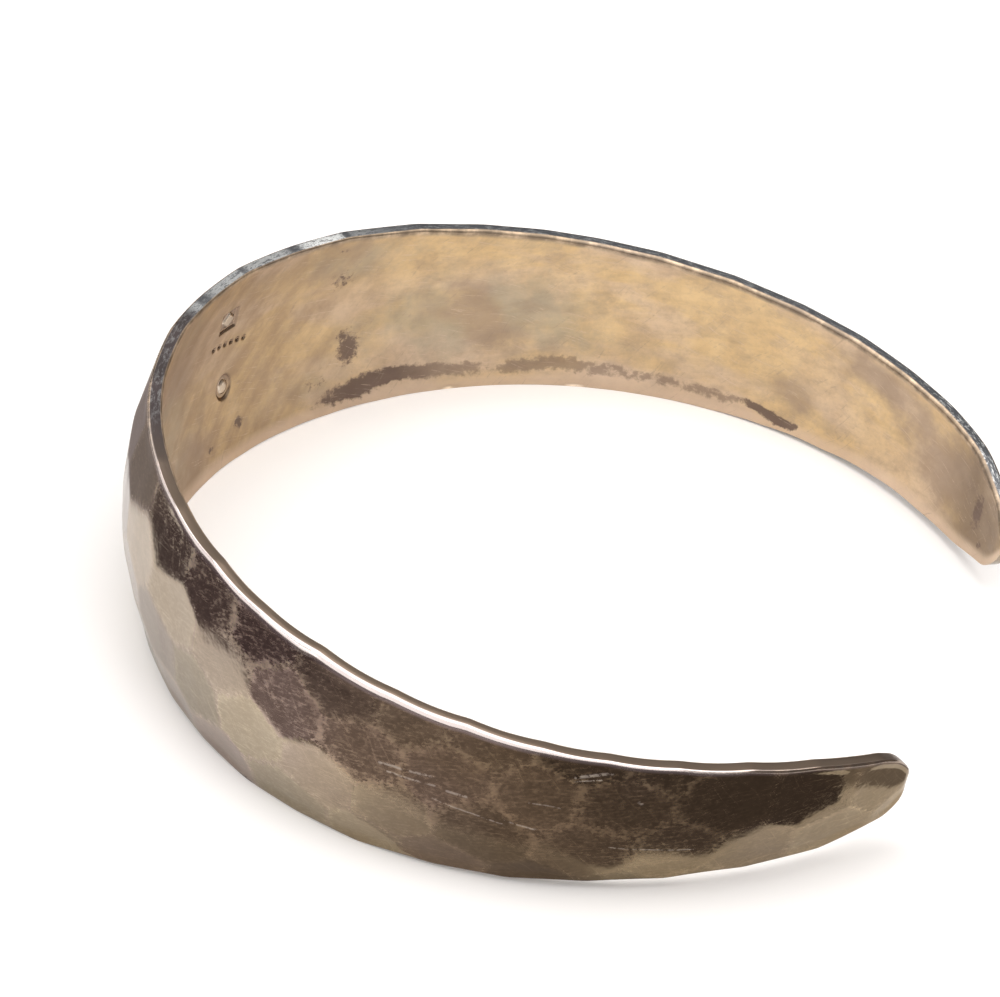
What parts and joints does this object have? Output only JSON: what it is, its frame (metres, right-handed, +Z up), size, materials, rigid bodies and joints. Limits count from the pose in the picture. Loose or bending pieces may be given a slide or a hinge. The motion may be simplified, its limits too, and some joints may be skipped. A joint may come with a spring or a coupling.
{
  "type": "cuff bracelet",
  "caption": "Open cuff bracelet forged from one tapered strip, hammered outside and smooth inside, lying on its side.",
  "frame": {"origin": "under the middle of the bounding box, on the surface the cuff lies on", "axes": "+X from the back of the cuff towards its gap, +Y towards the left arm, +Z up; the wrist passes along Z"},
  "size_m": [0.0582, 0.0582, 0.0162],
  "materials": {
    "silver": "warm aged silver: hammered and burnished outside, hazy with tarnish stains inside"
  },
  "bodies": {
    "root": {"cuff_band": "silver"}
  },
  "joints": []
}
